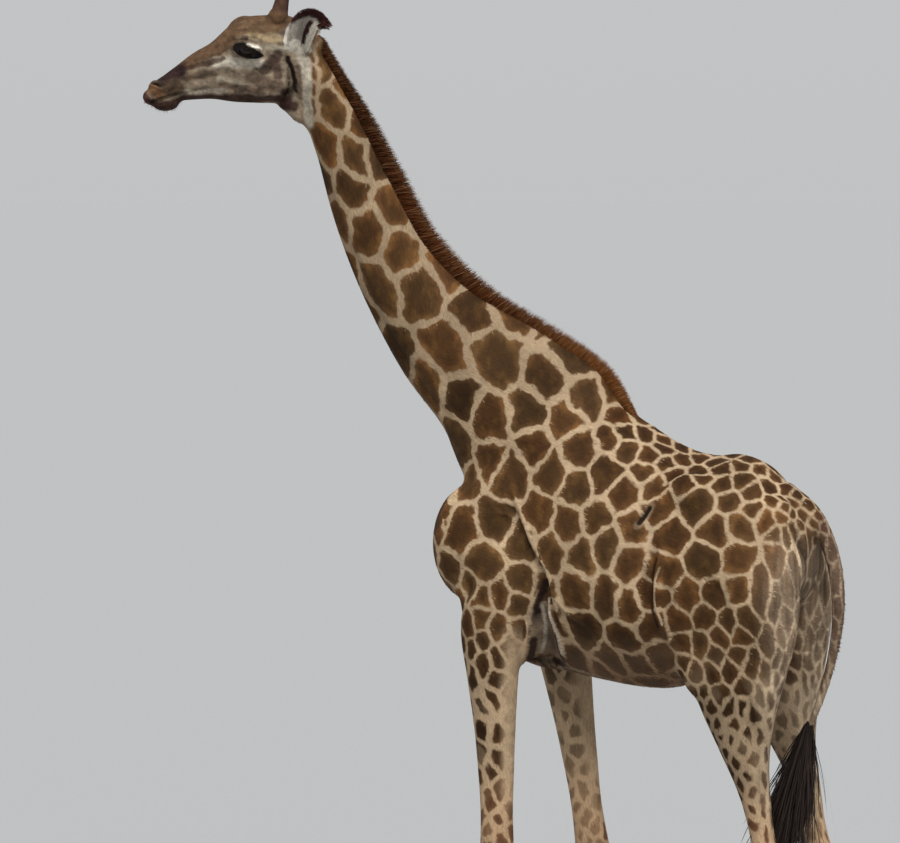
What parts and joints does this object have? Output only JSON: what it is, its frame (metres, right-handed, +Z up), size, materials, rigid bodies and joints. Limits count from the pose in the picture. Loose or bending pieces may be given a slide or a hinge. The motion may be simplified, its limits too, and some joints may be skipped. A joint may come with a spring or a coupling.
{
  "type": "giraffe model",
  "caption": "Life-size still model of a standing giraffe, long neck raised and head turned to its left, with patched short coat, stiff mane and hanging tail tuft.",
  "frame": {"origin": "on the floor under the middle of the whole model's bounding box", "axes": "+Z up, -Y the way the body faces, +X towards the animal's left"},
  "size_m": [0.9249, 2.6274, 4.3143],
  "materials": {
    "hide": "short matt hair in brown patches parted by cream lines",
    "horn_skin": "dark short hair over the horns",
    "mane_hair": "stiff upright rust-brown hair",
    "tail_hair": "long coarse black hair",
    "hoof_horn": "worn dark horn",
    "eye": "wet dark brown"
  },
  "bodies": {
    "root": {"ear_left": "hide", "ear_right": "hide", "eye_left": "eye", "eye_right": "eye", "forearm_left": "hide", "forearm_right": "hide", "front_shank_left": "hide", "front_shank_right": "hide", "head": "hide", "hind_shank_left": "hide", "hind_shank_right": "hide", "hoof_front_left_left": "hoof_horn", "hoof_front_left_right": "hoof_horn", "hoof_front_right_left": "hoof_horn", "hoof_front_right_right": "hoof_horn", "hoof_hind_left_left": "hoof_horn", "hoof_hind_left_right": "hoof_horn", "hoof_hind_right_left": "hoof_horn", "hoof_hind_right_right": "hoof_horn", "horn_left": "horn_skin", "horn_right": "horn_skin", "mane": "mane_hair", "neck": "hide", "tail": "hide", "tail_tuft": "tail_hair", "thigh_left": "hide", "thigh_right": "hide", "trunk": "hide"}
  },
  "joints": []
}
